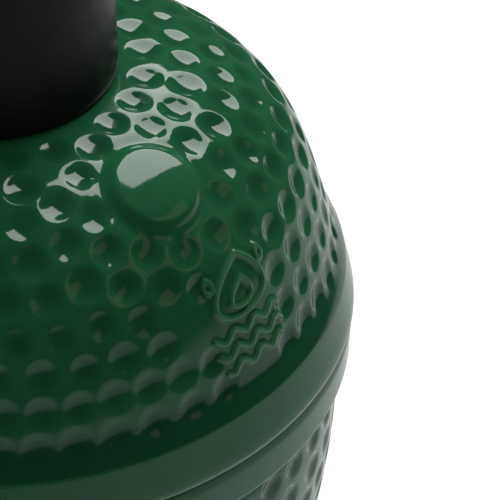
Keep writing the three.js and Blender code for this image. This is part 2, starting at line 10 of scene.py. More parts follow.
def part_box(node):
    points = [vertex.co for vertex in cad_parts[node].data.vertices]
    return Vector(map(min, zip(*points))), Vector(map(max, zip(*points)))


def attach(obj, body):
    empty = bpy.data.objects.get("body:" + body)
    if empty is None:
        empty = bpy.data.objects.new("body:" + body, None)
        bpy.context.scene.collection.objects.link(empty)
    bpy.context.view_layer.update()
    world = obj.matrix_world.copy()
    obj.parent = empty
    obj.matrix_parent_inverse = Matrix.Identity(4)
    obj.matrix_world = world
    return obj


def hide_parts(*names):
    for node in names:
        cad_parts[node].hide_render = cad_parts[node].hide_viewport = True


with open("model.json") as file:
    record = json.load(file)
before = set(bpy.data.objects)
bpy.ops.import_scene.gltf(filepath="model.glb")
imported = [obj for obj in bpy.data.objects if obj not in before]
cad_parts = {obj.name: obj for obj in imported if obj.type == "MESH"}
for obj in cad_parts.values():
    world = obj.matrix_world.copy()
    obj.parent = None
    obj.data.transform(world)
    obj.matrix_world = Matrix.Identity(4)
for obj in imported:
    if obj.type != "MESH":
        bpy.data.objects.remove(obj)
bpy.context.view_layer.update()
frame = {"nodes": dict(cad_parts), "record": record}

MM = 0.001
nodes = frame["nodes"]

# ---- places, from the frame

lid_low, lid_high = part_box("lid_shell")
base_low, base_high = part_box("base_shell")
BELT_R = lid_high.x
LID_Z = lid_low.z
NECK_Z = lid_high.z
RIM_Z = base_high.z
RIDGE_Z = LID_Z + 4 * MM
DOME_Z = NECK_Z - 20 * MM
CAP_R = 0.35 * BELT_R
RIM_IN_R = 150 * MM
BELT_FOOT_Z = RIDGE_Z - 0.174 * BELT_R
BOSS_AZ = 76
BOSS_R = 21 * MM
DRAFT_FACE_Y = -142 * MM
DRAFT_Z = 58 * MM
LID_WALL = 14 * MM
BASE_WALL = 16 * MM
GAUGE_HEIGHT = 62 * MM

# ---- camera

CAMERA_AZIMUTH = 39
CAMERA_RISE = 38.02
CAMERA_DISTANCE = 9 * BELT_R
CAMERA_PAN = -4.457
CAMERA_TILT = 0.414
CAMERA_ROLL = 6.257
CAMERA_LENS = 216.5


def compass(azimuth, rise=0.0):
    """The unit vector at an azimuth from the front, towards +X, and a rise above level, in degrees."""
    a, e = radians(azimuth), radians(rise)
    return Vector((cos(e) * sin(a), -cos(e) * cos(a), sin(e)))


def new_object(name, data):
    piece = bpy.data.objects.new(name, data)
    bpy.context.scene.collection.objects.link(piece)
    return piece


def make_camera():
    out = compass(CAMERA_AZIMUTH, CAMERA_RISE)
    look = -out
    right = look.cross(Vector((0, 0, 1))).normalized()
    up = right.cross(look)
    turn = Matrix.Rotation(radians(CAMERA_PAN), 3, up)
    look, right = turn @ look, turn @ right
    turn = Matrix.Rotation(radians(CAMERA_TILT), 3, right)
    look, up = turn @ look, turn @ up
    turn = Matrix.Rotation(radians(CAMERA_ROLL), 3, look)
    right, up = turn @ right, turn @ up
    data = bpy.data.cameras.new("camera")
    data.lens = CAMERA_LENS
    data.sensor_width = 36
    camera = new_object("camera", data)
    place = Matrix((right, up, -look)).transposed().to_4x4()
    place.translation = Vector((0, 0, RIDGE_Z)) + out * CAMERA_DISTANCE
    camera.matrix_world = place
    bpy.context.scene.camera = camera


make_camera()

# ---- materials


class Nodes:
    """A material's node tree with short ways to add and join nodes."""

    def __init__(self, name):
        self.material = bpy.data.materials.new(name)
        self.material.use_nodes = True
        self.tree = self.material.node_tree
        self.shader = self.tree.nodes["Principled BSDF"]

    def add(self, kind, **values):
        node = self.tree.nodes.new(kind)
        for key, value in values.items():
            if key in node.inputs:
                node.inputs[key].default_value = value
            else:
                setattr(node, key, value)
        return node

    def link(self, source, target):
        self.tree.links.new(source, target)

    def set(self, **values):
        for key, value in values.items():
            self.shader.inputs[key.replace("_", " ")].default_value = value

    def place(self, scale=(1, 1, 1)):
        coordinates = self.add("ShaderNodeTexCoord")
        mapping = self.add("ShaderNodeMapping")
        mapping.inputs["Scale"].default_value = scale
        self.link(coordinates.outputs["Object"], mapping.inputs["Vector"])
        return mapping.outputs["Vector"]

    def noise(self, scale, detail=4.0, roughness=0.5, stretch=(1, 1, 1)):
        node = self.add("ShaderNodeTexNoise", Scale=scale, Detail=detail, Roughness=roughness)
        self.link(self.place(stretch), node.inputs["Vector"])
        return node.outputs["Fac"]

    def ramp(self, source, stops):
        node = self.add("ShaderNodeValToRGB")
        elements = node.color_ramp.elements
        while len(elements) < len(stops):
            elements.new(0.5)
        for element, (position, color) in zip(elements, stops):
            element.position = position
            element.color = (*color, 1)
        self.link(source, node.inputs["Fac"])
        return node.outputs["Color"]

    def grey(self, source, low, high, start=0.3, end=0.7):
        return self.ramp(source, [(start, (low,) * 3), (end, (high,) * 3)])

    def spread(self, centre, near, far, first, last):
        """A value that goes smoothly from first to last between two distances from a place."""
        distance = self.add("ShaderNodeVectorMath", operation="DISTANCE")
        distance.inputs[1].default_value = centre
        self.link(self.place(), distance.inputs[0])
        node = self.add("ShaderNodeMapRange", interpolation_type="SMOOTHSTEP")
        for key, value in (("From Min", near), ("From Max", far), ("To Min", first), ("To Max", last)):
            node.inputs[key].default_value = value
        self.link(distance.outputs["Value"], node.inputs["Value"])
        return node.outputs["Result"]

    def mix(self, factor, first, second):
        node = self.add("ShaderNodeMix", data_type="RGBA")
        for index, value in ((0, factor), (6, first), (7, second)):
            socket = node.inputs[index]
            if isinstance(value, bpy.types.NodeSocket):
                self.link(value, socket)
            else:
                socket.default_value = value if isinstance(value, float) else (*value, 1)
        return node.outputs[2]

    def bump(self, source, strength, distance):
        node = self.add("ShaderNodeBump", Strength=strength, Distance=distance)
        self.link(source, node.inputs["Height"])
        last = self.shader.inputs["Normal"]
        if last.is_linked:
            self.link(last.links[0].from_socket, node.inputs["Normal"])
        self.link(node.outputs["Normal"], last)

    def layer(self, name):
        return self.add("ShaderNodeAttribute", attribute_name=name).outputs["Fac"]

    def color(self, source):
        self.link(source, self.shader.inputs["Base Color"])

    def rough(self, source):
        self.link(source, self.shader.inputs["Roughness"])


def glaze_material():
    """Deep green glaze. Painted shade darkens it in the dimples and the cove above the belt, and a painted
    highlight lightens it on the mark's raised lines.
    """
    m = Nodes("green_glaze")
    m.set(IOR=1.46, Specular_IOR_Level=0.38, Roughness=0.07)
    cloud = m.noise(16, 5, 0.55)
    thick = m.ramp(cloud, [(0.3, (0.0085, 0.065, 0.026)), (0.7, (0.013, 0.091, 0.038))])
    # Painted shade: a darker green in the dimples and in the cove above the belt.
    shaded = m.mix(m.layer("hollow"), thick, (0.0055, 0.047, 0.0195))
    # Painted highlight: a lighter green on the raised lines of the mark.
    shaded_and_lit = m.mix(m.layer("raised"), shaded, (0.040, 0.150, 0.070))
    specks = m.grey(m.noise(420, 2, 0.6), 0, 1, 0.70, 0.76)
    glazed = m.mix(specks, shaded_and_lit, (0.006, 0.040, 0.018))
    bare = m.ramp(m.noise(26, 7, 0.65), [(0.3, (0.16, 0.135, 0.11)), (0.75, (0.42, 0.36, 0.29))])
    inside = m.layer("inside")
    m.color(m.mix(inside, glazed, bare))
    shine = m.grey(m.noise(60, 3), 0.045, 0.10)
    m.rough(m.mix(inside, shine, (0.9, 0.9, 0.9)))
    m.bump(m.noise(95, 2, 0.4), 0.10, 0.0006)
    m.bump(m.noise(700, 2, 0.5), 0.04, 0.0002)
    return m.material


def noisy_material(name, tone_noise, low, high, gloss_noise=None, gloss=None, bumps=(), **sockets):
    """Two (position, colour) tones, an uneven gloss, and bumps of (noise, strength, distance)."""
    m = Nodes(name)
    m.set(**sockets)
    m.color(m.ramp(m.noise(*tone_noise), [low, high]))
    if gloss_noise:
        m.rough(m.grey(m.noise(*gloss_noise), *gloss))
    for noise, strength, distance in bumps:
        m.bump(m.noise(*noise), strength, distance)
    return m.material


def paint_material(name, low, high, rough):
    return noisy_material(name, (120, 4), (0.3, low), (0.7, high), (300, 2), (rough - 0.06, rough + 0.06))


def clay_material():
    """Unglazed refractory clay, warm and grainy, with soot in patches."""
    m = Nodes("fired_clay")
    m.set(Roughness=0.92, IOR=1.4)
    body = m.ramp(m.noise(35, 8, 0.65), [(0.3, (0.50, 0.36, 0.25)), (0.7, (0.66, 0.51, 0.38))])
    grit = m.grey(m.noise(900, 2), 0, 1, 0.62, 0.72)
    m.color(m.mix(grit, body, (0.30, 0.21, 0.15)))
    m.bump(m.noise(1100, 3), 0.35, 0.0004)
    m.bump(m.noise(70, 4), 0.25, 0.001)
    return m.material


def steel_material():
    m = Nodes("steel")
    m.set(Metallic=1.0)
    brushed = m.noise(300, 5, 0.7, (1, 1, 40))
    tint = (0.60, 0.61, 0.63)
    m.color(m.mix(m.grey(brushed, 0, 1), tuple(0.8 * c for c in tint), tint))
    m.rough(m.grey(brushed, 0.20, 0.38))
    m.bump(brushed, 0.10, 0.0001)
    return m.material


def wood_material():
    """Oiled hardwood with its grain along the bar."""
    m = Nodes("wood")
    m.set(IOR=1.45, Coat_Weight=0.25, Coat_Roughness=0.3)
    place = m.place((0.25, 1, 1))
    wave = m.add("ShaderNodeTexWave", Scale=60.0, Distortion=9.0, Detail=4.0, bands_direction="Y")
    m.link(place, wave.inputs["Vector"])
    rings = m.ramp(wave.outputs["Fac"], [(0.1, (0.20, 0.085, 0.032)), (0.8, (0.38, 0.19, 0.085))])
    pores = m.grey(m.noise(900, 3, 0.6, (0.06, 1, 1)), 0, 1, 0.58, 0.70)
    m.color(m.mix(pores, rings, (0.12, 0.05, 0.02)))
    m.rough(m.grey(m.noise(200, 3, 0.5, (0.1, 1, 1)), 0.42, 0.60))
    m.bump(m.noise(900, 3, 0.6, (0.06, 1, 1)), 0.25, 0.0003)
    return m.material


def glass_material():
    m = Nodes("glass")
    m.set(IOR=1.5, Roughness=0.02, Transmission_Weight=1.0)
    m.color(m.ramp(m.noise(20, 2), [(0.3, (0.97, 0.99, 0.985)), (0.7, (1.0, 1.0, 1.0))]))
    return m.material


MATERIALS = {
    "green_glaze": glaze_material(),
    "fired_clay": clay_material(),
    "cast_iron": noisy_material(
        "cast_iron", (50, 6), (0.3, (0.022, 0.022, 0.024)), (0.72, (0.050, 0.048, 0.046)), (160, 4),
        (0.48, 0.72), (((1400, 4, 0.6), 0.5, 0.00025), ((180, 3), 0.2, 0.0005)), Metallic=0.55),
    "steel": steel_material(),
    "black_steel": noisy_material(
        "black_steel", (60, 6), (0.35, (0.012, 0.012, 0.013)), (0.75, (0.030, 0.030, 0.032)), (220, 3),
        (0.34, 0.50), (((900, 2), 0.22, 0.00025),), IOR=1.5),
    "silicone": noisy_material(
        "silicone", (24, 5), (0.3, (0.0035, 0.0035, 0.0036)), (0.75, (0.0055, 0.0055, 0.0056)), (120, 4),
        (0.32, 0.42), (((1600, 2), 0.06, 0.00015), ((30, 3), 0.05, 0.0008)),
        IOR=1.40, Specular_IOR_Level=0.22),
    "felt": noisy_material(
        "felt", (700, 6, 0.7), (0.3, (0.010, 0.011, 0.012)), (0.72, (0.040, 0.042, 0.044)),
        bumps=(((1800, 5, 0.7), 0.8, 0.0006),), Roughness=1.0, Sheen_Weight=0.35, Sheen_Roughness=0.6),
    "wood": wood_material(),
    "black_plastic": noisy_material(
        "black_plastic", (90, 4), (0.3, (0.012, 0.012, 0.013)), (0.7, (0.020, 0.020, 0.021)), (260, 3),
        (0.38, 0.52), (((1300, 2), 0.12, 0.0002),), IOR=1.48),
    "dial": paint_material("dial", (0.80, 0.79, 0.75), (0.88, 0.87, 0.83), 0.55),
    "needle_red": paint_material("needle_red", (0.50, 0.020, 0.012), (0.60, 0.030, 0.020), 0.35),
    "glass": glass_material(),
}
dial_ink = paint_material("dial_ink", (0.015, 0.015, 0.017), (0.03, 0.03, 0.033), 0.5)
SLOT_OF = {part["node"]: part["material_slot"] for part in frame["record"]["subparts"]}
BODY_OF = {node: body for body, group in frame["record"]["behaviour"]["bodies"].items() for node in group}

# ---- mesh helpers

TURN_STEPS = 144


def mesh_object(name, vertices, faces):
    data = bpy.data.meshes.new(name)
    data.from_pydata([tuple(v) for v in vertices], [], faces)
    data.validate()
    return sharpened(new_object(name, data))


def sharpened(piece, angle=32):
    piece.data.shade_smooth()
    piece.data.set_sharp_from_angle(angle=radians(angle))
    return piece


def stand_for(piece, node):
    """The piece takes a CAD node's place, its body, its slot and its material."""
    piece.data.materials.clear()
    piece.data.materials.append(MATERIALS[SLOT_OF[node]])
    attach(piece, BODY_OF[node])
    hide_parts(node)


def mm(*points):
    """[radius, height] points given in millimetres."""
    return [(r * MM, z * MM) for r, z in points]


def lifted(points, z):
    return [(r, h + z) for r, h in points]


def rounded(profile, radius, closed=False, steps=4):
    """A [radius, height] outline with each corner rounded."""
    points = [Vector(p) for p in profile]
    last = len(points) - 1
    out = []
    for i, corner in enumerate(points):
        if not closed and i in (0, last):
            out.append(corner)
            continue
        before, after = points[i - 1], points[(i + 1) % len(points)]
        reach = min(radius, 0.45 * (before - corner).length, 0.45 * (after - corner).length)
        start = corner + (before - corner).normalized() * reach
        end = corner + (after - corner).normalized() * reach
        for k in range(steps + 1):
            t = k / steps
            out.append((1 - t) ** 2 * start + 2 * t * (1 - t) * corner + t * t * end)
    return out


def turned(name, profile, closed=False, radius=0.0, steps=None):
    """A solid of revolution about Z. An open outline starts and ends on the axis."""
    steps = steps or TURN_STEPS
    outline = rounded(profile, radius, closed) if radius else [Vector(p) for p in profile]
    vertices, rings = [], []
    for point in outline:
        if point.x < 1e-7:
            rings.append([len(vertices)] * steps)
            vertices.append((0, 0, point.y))
            continue
        rings.append(list(range(len(vertices), len(vertices) + steps)))
        for k in range(steps):
            a = 2 * pi * k / steps
            vertices.append((point.x * cos(a), point.x * sin(a), point.y))
    pairs = list(zip(rings, rings[1:]))
    if closed:
        pairs.append((rings[-1], rings[0]))
    faces = []
    for low, high in pairs:
        for k in range(steps):
            n = (k + 1) % steps
            face = [low[k], low[n], high[n], high[k]]
            face = [v for i, v in enumerate(face) if v != face[i - 1]]
            if len(face) > 2:
                faces.append(face)
    area = sum(a.x * b.y - b.x * a.y for a, b in zip(outline, outline[1:] + outline[:1]))
    if area < 0:
        faces = [face[::-1] for face in faces]
    return mesh_object(name, vertices, faces)


def moved(piece, matrix):
    piece.data.transform(matrix)
    return piece


LAID = Matrix.Rotation(radians(90), 4, "X")


def spun(degrees):
    return Matrix.Rotation(radians(degrees), 4, "Z")


def aimed_out(azimuth, radius, z):
    """Turns +Z to point outwards at an azimuth, and puts the origin at that radius and height."""
    return spun(azimuth) @ Matrix.Translation((0, -radius, z)) @ LAID


def along_x(y, z):
    """Turns +Z to +X, and puts the origin on the line at y and z."""
    return Matrix.Translation((0, y, z)) @ Matrix.Rotation(radians(90), 4, "Y")


def refined(node, bevel):
    """A copy of a CAD node with clean flat faces and softened edges."""
    data = nodes[node].data.copy()
    data.name = node + "_fine"
    piece = new_object(node + "_fine", data)
    weld = piece.modifiers.new("weld", "WELD")
    weld.merge_threshold = 1e-6
    flat = piece.modifiers.new("flat", "DECIMATE")
    flat.decimate_type = "DISSOLVE"
    flat.angle_limit = radians(1)
    softened(piece, bevel, 2)
    piece.data.shade_smooth()
    steady = piece.modifiers.new("steady", "WEIGHTED_NORMAL")
    steady.weight = 100
    bake_modifiers(piece)
    stand_for(piece, node)


def softened(piece, width, segments=3):
    soft = piece.modifiers.new("soft", "BEVEL")
    soft.width = width
    soft.segments = segments
    soft.limit_method = "ANGLE"
    soft.angle_limit = radians(40)
    soft.use_clamp_overlap = True
    bake_modifiers(piece)


def bake_modifiers(piece):
    graph = bpy.context.evaluated_depsgraph_get()
    graph.update()
    shaped = bpy.data.meshes.new_from_object(piece.evaluated_get(graph))
    piece.modifiers.clear()
    piece.data = shaped


def combined(piece, operation, others):
    """Applies one boolean operation with each of the other solids, and throws them away."""
    for other in others:
        change = piece.modifiers.new("change", "BOOLEAN")
        change.operation = operation
        change.solver = "MANIFOLD"
        change.object = other
    bake_modifiers(piece)
    for other in others:
        bpy.data.objects.remove(other)
    return piece


def cut_out(piece, *cutters):
    return combined(piece, "DIFFERENCE", cutters)


def joined(piece, *others):
    return combined(piece, "UNION", others)


def block(name, low, high):
    corners = [(x, y, z) for x in (low[0], high[0]) for y in (low[1], high[1]) for z in (low[2], high[2])]
    faces = [(0, 1, 3, 2), (4, 6, 7, 5), (0, 4, 5, 1), (2, 3, 7, 6), (0, 2, 6, 4), (1, 5, 7, 3)]
    return mesh_object(name, corners, faces)

# ---- egg outlines


class Outline:
    """A Bezier outline of [radius, height], measured by length along it."""

    def __init__(self, *corners):
        t = np.linspace(0, 1, 2001)[:, None]
        a, b, c, d = (np.array(p, float) for p in corners)
        self.points = (1 - t) ** 3 * a + 3 * (1 - t) ** 2 * t * b + 3 * (1 - t) * t * t * c + t ** 3 * d
        steps = np.hypot(*np.diff(self.points, axis=0).T)
        self.travel = np.concatenate([[0], np.cumsum(steps)])
        self.length = self.travel[-1]
        way = np.gradient(self.points, axis=0)
        self.way = way / np.hypot(*way.T)[:, None]

    def at(self, s):
        return np.stack([np.interp(s, self.travel, self.points[:, k]) for k in (0, 1)], -1)

    def direction(self, s):
        way = np.stack([np.interp(s, self.travel, self.way[:, k]) for k in (0, 1)], -1)
        return way / np.hypot(way[..., 0], way[..., 1])[..., None]

    def at_height(self, z):
        return float(self.travel[np.abs(self.points[:, 1] - z).argmin()])


dome = Outline(
    (0.976 * BELT_R, RIDGE_Z + 0.121 * BELT_R), (0.948 * BELT_R, RIDGE_Z + 0.289 * BELT_R),
    (0.89 * BELT_R, DOME_Z), (CAP_R, DOME_Z))
bowl = Outline((160.8 * MM, BELT_FOOT_Z - 2.5 * MM), (159 * MM, 130 * MM), (132 * MM, 50 * MM),
               (100 * MM, 6 * MM))


def on_surface(outline, s, azimuth):
    """Points on the turned outline, at lengths s and azimuths in radians."""
    at = outline.at(s)
    return np.stack([at[..., 0] * np.sin(azimuth), -at[..., 0] * np.cos(azimuth), at[..., 1]], -1)


def surface_frame(outline, s, azimuth):
    """Origin, sideways, upwards and outwards directions at a point of the turned outline."""
    a = radians(azimuth)
    way = outline.direction(s)
    origin = on_surface(outline, np.array(s), a)
    side = np.array([cos(a), sin(a), 0])
    out = np.array([way[1] * sin(a), -way[1] * cos(a), -way[0]])
    return origin, side, np.cross(out, side), out

# ---- dimples

DIMPLE_PITCH = 20.8 * MM
DIMPLE_R = 8.6 * MM
DIMPLE_DEPTH = 2.2 * MM
DIMPLE_LIP = 0.22
DIMPLE_REACH = 1.5
DRIFT_ROUNDS = 60


def smooth_step(x):
    x = np.clip(x, 0, 1)
    return x * x * (3 - 2 * x)


def dimple_layout(outline, first, last, keep_out, seed):
    """Staggered rows of dimples that have drifted apart, as hand-set ones do, clear of the plain places."""
    draw = np.random.default_rng(seed)
    rows = int(round((last - first) / (0.88 * DIMPLE_PITCH)))
    spots = []
    for row in range(rows + 1):
        s = first + (last - first) * row / rows
        radius = outline.at(s)[0]
        count = int(round(2 * pi * radius / DIMPLE_PITCH * draw.uniform(0.90, 1.0)))
        for k in range(count):
            spots.append((s, 2 * pi * (k + 0.5 * (row % 2)) / count))
    spots = np.array(spots)
    spots[:, 0] += draw.normal(0, 2.2 * MM, len(spots))
    spots[:, 1] += draw.normal(0, 2.0 * MM, len(spots)) / outline.at(spots[:, 0])[:, 0]
    for _ in range(DRIFT_ROUNDS):
        here = on_surface(outline, spots[:, 0], spots[:, 1])
        gap = here[:, None] - here[None]
        distance = np.linalg.norm(gap, axis=-1) + np.eye(len(here))
        push = np.clip(0.96 * DIMPLE_PITCH - distance, 0, None) * (1 - np.eye(len(here)))
        force = (gap / distance[..., None] * push[..., None]).sum(1) * 0.3
        for centre, reach in keep_out:
            away = here - centre
            far = np.linalg.norm(away, axis=-1)
            force += away / far[:, None] * np.clip(reach - far, 0, 3 * MM)[:, None]
        way = outline.direction(spots[:, 0])
        east, south = np.sin(spots[:, 1]), np.cos(spots[:, 1])
        up = np.stack([way[:, 0] * east, -way[:, 0] * south, way[:, 1]], -1)
        side = np.stack([south, east, 0 * east], -1)
        spots[:, 0] = np.clip(spots[:, 0] + (force * up).sum(1), first, last)
        spots[:, 1] += (force * side).sum(1) / outline.at(spots[:, 0])[:, 0]
    here = on_surface(outline, spots[:, 0], spots[:, 1])
    keep = np.ones(len(spots), bool)
    for centre, reach in keep_out:
        keep &= np.linalg.norm(here - centre, axis=-1) > 0.93 * reach
    spots, here = spots[keep], here[keep]
    high = smooth_step((spots[:, 0] - 50 * MM) / (60 * MM))
    sizes = DIMPLE_R * (0.92 + 0.09 * high) * draw.uniform(0.93, 1.05, len(spots))
    depths = DIMPLE_DEPTH * (0.84 + 0.22 * high) * draw.uniform(0.88, 1.1, len(spots))
    return here, sizes, depths


def dimple_depth(points, layout):
    """How far each surface point sinks. Bowls have a round floor and a soft lip."""
    depth = np.zeros(points.shape[:-1])
    flat = points.reshape(-1, 3)
    out = depth.reshape(-1)

    def bowl_shape(x):
        return 0.5 * (x + np.sqrt(x * x + DIMPLE_LIP ** 2))

    for centre, size, deep in zip(*layout):
        near = np.flatnonzero(np.abs(flat - centre).max(1) < DIMPLE_REACH * size)
        u = ((flat[near] - centre) ** 2).sum(1) / size ** 2
        sunk = bowl_shape(1 - u) - bowl_shape(1 - DIMPLE_REACH ** 2)
        out[near] = np.maximum(out[near], deep * np.clip(sunk, 0, None))
    return depth

# ---- shells

DENSE = (30, 128)       # azimuths with close columns
DENSEST = (72, 92)      # azimuths with the closest columns
LID_LIP = 1.7 * MM      # the lips meet in a narrow seam in front of the gaskets
BASE_LIP = 2.4 * MM
COVE_DEPTH = 3.6 * MM
COVE_TALL = 15 * MM


def columns():
    """Azimuths of the shell's columns: closer together round the boss, and closest on the emblem."""
    finest, fine, plain = ((0.22, 0.38, 0.72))
    stops = (*DENSE[:1], *DENSEST, *DENSE[1:], DENSE[0] + 360)
    return np.radians(np.concatenate([
        np.linspace(a, b, int((b - a) / step), endpoint=False)
        for a, b, step in zip(stops, stops[1:], (fine, finest, fine, plain))]))


def grid_object(name, rows, attributes):
    """A closed skin from rows of points. Each row is a ring, and the last row joins the first."""
    count, width = rows.shape[:2]
    index = np.arange(count * width).reshape(count, width)
    above = np.roll(index, -1, 0)
    beside = np.roll(index, -1, 1)
    both = np.roll(above, -1, 1)
    quads = np.stack([index, beside, both, above], -1).reshape(-1, 4)
    data = bpy.data.meshes.new(name)
    data.vertices.add(count * width)
    data.vertices.foreach_set("co", rows.reshape(-1).astype(np.float32))
    data.loops.add(quads.size)
    data.loops.foreach_set("vertex_index", quads.reshape(-1))
    data.polygons.add(len(quads))
    data.polygons.foreach_set("loop_start", np.arange(0, quads.size, 4))
    data.update(calc_edges=True)
    for key, values in attributes.items():
        layer = data.attributes.new(key, "FLOAT", "POINT")
        layer.data.foreach_set("value", values.reshape(-1).astype(np.float32))
    return sharpened(new_object(name, data), 60)


def glazed_object(name, rows, start, hollow, raised, bare_from, order=1):
    """A shell's closed skin. Its relief carries painted shade in the dimples and a painted highlight on the
    raised lines, and its inside is bare clay.
    """
    layers = {key: np.zeros(rows.shape[:2]) for key in ("hollow", "raised", "inside")}
    layers["hollow"][start:start + len(hollow)] = hollow
    layers["raised"][start:start + len(hollow)] = raised
    layers["inside"][bare_from:] = layers["inside"][0] = 1
    return grid_object(name, rows[::order], {key: layer[::order] for key, layer in layers.items()})


def outline_rows(profile, azimuths):
    """Rings of points from a [radius, height] list."""
    profile = np.array([tuple(p) for p in profile])
    radius, height = profile[:, 0][:, None], profile[:, 1][:, None]
    return np.stack([
        radius * np.sin(azimuths), -radius * np.cos(azimuths), height + 0 * azimuths], -1)


def resampled(profile, spacing):
    """More points along a [radius, height] outline, no further apart than spacing."""
    out = []
    for a, b in zip(profile, profile[1:]):
        a, b = Vector(a), Vector(b)
        steps = max(1, int(ceil((b - a).length / spacing)))
        out += [a.lerp(b, k / steps) for k in range(steps)]
    return out + [Vector(profile[-1])]


def boss_height(points):
    """The smooth convex boss: how far it stands above the dome, with a fillet ring round it."""
    s = dome.at_height(RIDGE_Z + 0.739 * BELT_R)
    origin, side, up, _ = surface_frame(dome, s, BOSS_AZ)
    offset = points - origin
    radius = np.hypot(offset @ side, offset @ up)
    crown = 2.8 * MM + 1.1 * MM * (1 - (radius / BOSS_R) ** 2)
    rim = smooth_step((BOSS_R + 3.6 * MM - radius) / (6.8 * MM))
    moat = -0.8 * MM * np.exp(-((radius - BOSS_R - 5.0 * MM) / (2.8 * MM)) ** 2)
    return crown * rim + moat, origin


EMBLEM_AZ = 82
EMBLEM_S = 46 * MM
EMBLEM_CLEAR = ((19, 17), (4, 21), (-10, 22), (-19, 20))    # level above the middle and reach, mm
PLAIN_PATCHES = ((68, 62, 17), (69.5, 43, 13))              # azimuth, length up the dome and reach, mm


def emblem_lines():
    """A generic mark in outline: a flame with a tongue, between two sparks, over three waves of heat."""
    turn = np.linspace(0, 2 * np.pi, 120)
    climb = 0.5 + 0.5 * np.cos(turn)
    drop = np.sin(turn) * np.sin(turn / 2) ** 0.8
    lines = [
        np.stack([21 * drop + 5 * climb ** 3 - 1, 0.5 + 29 * climb], -1),
        np.stack([8.5 * drop + 3 * climb ** 3 - 1, 4.8 + 13.5 * climb], -1)]
    for side in (-1, 1):
        lines.append(np.stack([side * 17.5 + 2.4 * drop, 19.5 + 7 * climb], -1))
    for level, width in ((-6, 23), (-14.5, 22), (-23, 20)):
        x = np.linspace(-width, width, 120)
        lines.append(np.stack([x, level + 2.2 * np.sin(x * 0.45)], -1))
    return [line * MM for line in lines]


def emblem_height(points):
    """How far the mark's raised lines stand above the dome, and its middle."""
    origin, side, up, out = surface_frame(dome, EMBLEM_S, EMBLEM_AZ)
    offset = points - origin
    x, y = offset @ side, offset @ up
    near = (np.abs(x) < 28 * MM) & (np.abs(y) < 35 * MM) & (offset @ out > -20 * MM)
    height = np.zeros(points.shape[:-1])
    spots = np.stack([x[near], y[near]], -1)
    raised = np.zeros(len(spots))
    for number, line in enumerate(emblem_lines()):
        distance = np.sqrt(((spots[:, None] - line[None]) ** 2).sum(-1).min(1))
        half = 1.2 * MM if number < 4 else 1.4 * MM
        raised = np.maximum(raised, 1.6 * MM * smooth_step((half + 0.7 * MM - distance) / (1.2 * MM)))
    height[near] = raised
    return height, origin


def shell_rows(profile, azimuths):
    """The rings of a [radius, height] list, with their normals to the left of its way."""
    profile = np.array([tuple(p) for p in profile])
    way = np.gradient(profile, axis=0)
    way /= np.hypot(*way.T)[:, None]
    out = np.stack([
        way[:, 1][:, None] * np.sin(azimuths), -way[:, 1][:, None] * np.cos(azimuths),
        -way[:, 0][:, None] + 0 * azimuths], -1)
    return outline_rows(profile, azimuths), out


def lid_shell():
    azimuths = columns()
    fine, finest = ((1.25 * MM, 0.9 * MM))
    belt = rounded([
        (BELT_R - 4.2 * MM, LID_Z), (BELT_R - 3.9 * MM, LID_Z - LID_LIP),
        (BELT_R - 1.6 * MM, LID_Z - LID_LIP), (BELT_R - 0.2 * MM, RIDGE_Z - 2.2 * MM),
        (BELT_R - 0.5 * MM, RIDGE_Z + 2.5 * MM), (0.9765 * BELT_R, RIDGE_Z + 0.121 * BELT_R)], 2.2 * MM)
    outside = resampled([(RIM_IN_R, LID_Z), *belt], 2.0 * MM)
    lengths = np.concatenate([
        np.arange(1.0 * MM, 17 * MM, fine), np.arange(17 * MM, 77 * MM, finest),
        np.arange(77 * MM, dome.length - 2 * MM, fine)])
    neck = rounded([
        (CAP_R - 2 * MM, DOME_Z), (53 * MM, DOME_Z + 0.3 * MM), (50 * MM, DOME_Z + 4 * MM),
        (50 * MM, NECK_Z), (38 * MM, NECK_Z), (38 * MM, DOME_Z - LID_WALL)], 2.0 * MM)
    inner_s = np.linspace(dome.length - 16 * MM, 1 * MM, 26)
    at, way = dome.at(inner_s), dome.direction(inner_s)
    inside = np.stack([at[:, 0] - way[:, 1] * LID_WALL, at[:, 1] + way[:, 0] * LID_WALL], -1)
    inside = inside[inside[:, 0] > 42 * MM]
    skin = dome.at(lengths)
    start, end = len(outside), len(outside) + len(skin)
    rows, out = shell_rows([*outside, *skin, *neck], azimuths)
    inner_rows = outline_rows(inside, azimuths)

    here = rows[start:end]
    boss, boss_at = boss_height(here)
    emblem, emblem_at = emblem_height(here)
    gauge_at = surface_frame(dome, dome.at_height(RIDGE_Z + GAUGE_HEIGHT), 0)[0]
    keep_out = [(boss_at, BOSS_R + 5 * MM + 0.98 * DIMPLE_R), (gauge_at, 29 * MM + DIMPLE_R)]
    up = surface_frame(dome, EMBLEM_S, EMBLEM_AZ)[2]
    keep_out += [(emblem_at + up * level * MM, reach * MM + 0.7 * DIMPLE_R) for level, reach in EMBLEM_CLEAR]
    keep_out += [(surface_frame(dome, s * MM, azimuth)[0], reach * MM) for azimuth, s, reach in PLAIN_PATCHES]
    layout = dimple_layout(dome, 16 * MM, dome.length - 14 * MM, keep_out, seed=7)
    sunk = dimple_depth(here, layout)
    climb = smooth_step((lengths + 2 * MM) / COVE_TALL) - smooth_step(2 * MM / COVE_TALL)
    climb *= 1 - smooth_step((lengths - 30 * MM) / (60 * MM))
    cove = COVE_DEPTH * climb[:, None]
    relief = boss + emblem - sunk * smooth_step((lengths - 3 * MM) / (10 * MM))[:, None] - cove
    rows[start:end] = here + out[start:end] * relief[..., None]

    # Painted shade: the cove above the belt and the dimples get the darker glaze colour.
    cove_shade = 1.5 * (1 - smooth_step((lengths - 9 * MM) / (12 * MM)))
    hollow = np.clip(0.7 * sunk / DIMPLE_DEPTH + cove_shade[:, None], 0, 1.5)
    # Painted highlight: the mark's raised lines get the lighter glaze colour.
    raised = np.clip(emblem / (1.5 * MM), 0, 1) * 0.5
    stand_for(glazed_object("lid_glazed", np.concatenate([rows, inner_rows]), start, hollow, raised,
                            end + len(neck) - 2), "lid_shell")


